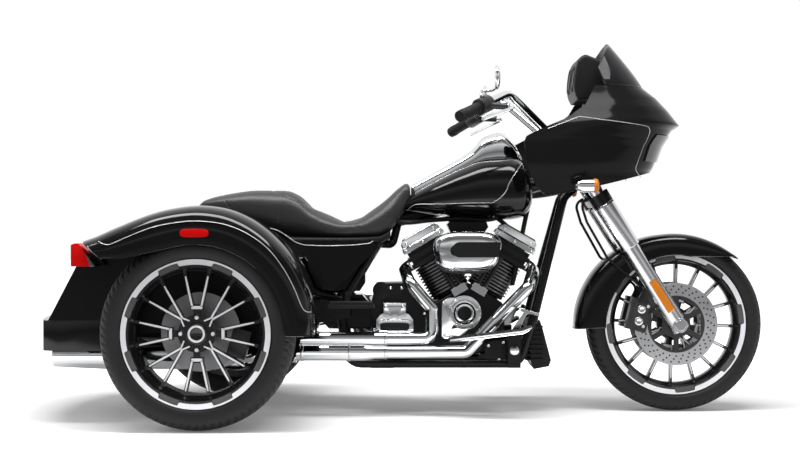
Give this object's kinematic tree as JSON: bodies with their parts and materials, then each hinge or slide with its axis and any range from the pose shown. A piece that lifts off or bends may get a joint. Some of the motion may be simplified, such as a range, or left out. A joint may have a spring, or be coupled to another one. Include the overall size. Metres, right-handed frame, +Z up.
{
  "type": "motorized trike",
  "caption": "Motorized trike with a steered front wheel under a nose fairing, an open V engine, a stepped seat, wide rear fenders and a hinged trunk lid.",
  "frame": {"origin": "on the ground at the middle of the vehicle box", "axes": "+X forward, +Y to the left, +Z up"},
  "size_m": [2.595, 1.3996, 1.342],
  "materials": {
    "paint_black": "gloss",
    "frame_black": "gloss",
    "engine_black": "satin",
    "chrome": "polished",
    "alloy_dark": "satin",
    "wheel_alloy": "machined and black",
    "disc_steel": "brushed",
    "plastic_black": "matte",
    "leather_black": "grained",
    "rubber_black": "matte",
    "tyre_rubber": "matte",
    "lens_red": "gloss",
    "lens_clear": "gloss",
    "screen_tint": "gloss"
  },
  "bodies": {
    "chassis": {"frame": "frame_black", "steering_head": "frame_black", "crankcase": "engine_black", "cylinders": "engine_black", "rocker_covers": "chrome", "pushrods": "alloy_dark", "cam_cover": "chrome", "air_cleaner": "chrome", "air_cleaner_insert": "plastic_black", "gearbox": "engine_black", "gearbox_cover": "chrome", "primary_cover": "chrome", "exhaust_headers": "chrome", "collector": "chrome", "mufflers": "chrome", "fuel_tank": "paint_black", "tank_console": "chrome", "seat": "leather_black", "side_covers": "paint_black", "trunk": "paint_black", "fender_rear_right": "paint_black", "fender_rear_left": "paint_black", "rear_lamps": "lens_red", "rear_bumper": "paint_black", "rear_axle": "frame_black", "swingarm": "frame_black", "shock_absorbers": "chrome", "belt_drive": "rubber_black", "rear_calipers": "alloy_dark", "footboards": "rubber_black", "passenger_boards": "rubber_black", "brake_pedal": "chrome", "shift_lever": "chrome", "oil_cooler": "alloy_dark", "fairing": "paint_black", "fairing_bracket": "frame_black", "dash": "plastic_black", "windscreen": "screen_tint", "headlamps": "lens_clear", "turn_signals": "chrome"},
    "trunk_lid": {"trunk_lid": "paint_black"},
    "steering": {"fork_legs": "chrome", "triple_clamps": "frame_black", "front_axle": "chrome", "handlebar": "chrome", "grips": "rubber_black", "hand_controls": "alloy_dark", "levers": "chrome", "mirrors": "chrome", "fender_front": "paint_black", "front_calipers": "alloy_dark", "brake_hoses": "rubber_black"},
    "front_wheel": {"wheel_front": "wheel_alloy", "tyre_front": "tyre_rubber", "discs_front": "disc_steel"},
    "rear_right_wheel": {"wheel_rear_right": "wheel_alloy", "tyre_rear_right": "tyre_rubber"},
    "rear_left_wheel": {"wheel_rear_left": "wheel_alloy", "tyre_rear_left": "tyre_rubber"}
  },
  "joints": [
    {"name": "steering_turn", "type": "hinge", "parent": "chassis", "child": "steering", "pos_m": [0.65805, 0, 0.86], "axis": [-0.4384, 0, 0.8988], "range_deg": [-30, 30]},
    {"name": "front_wheel_spin", "type": "hinge", "parent": "steering", "child": "front_wheel", "pos_m": [0.9785, 0, 0.319], "axis": [0, 1, 0], "continuous": true},
    {"name": "rear_right_wheel_spin", "type": "hinge", "parent": "chassis", "child": "rear_right_wheel", "pos_m": [-0.6915, -0.575, 0.321], "axis": [0, 1, 0], "continuous": true},
    {"name": "rear_left_wheel_spin", "type": "hinge", "parent": "chassis", "child": "rear_left_wheel", "pos_m": [-0.6915, 0.575, 0.321], "axis": [0, 1, 0], "continuous": true},
    {"name": "trunk_lid_hinge", "type": "hinge", "parent": "chassis", "child": "trunk_lid", "pos_m": [-0.78363, 0, 0.7048], "axis": [0, 1, 0], "range_deg": [0, 70]}
  ]
}
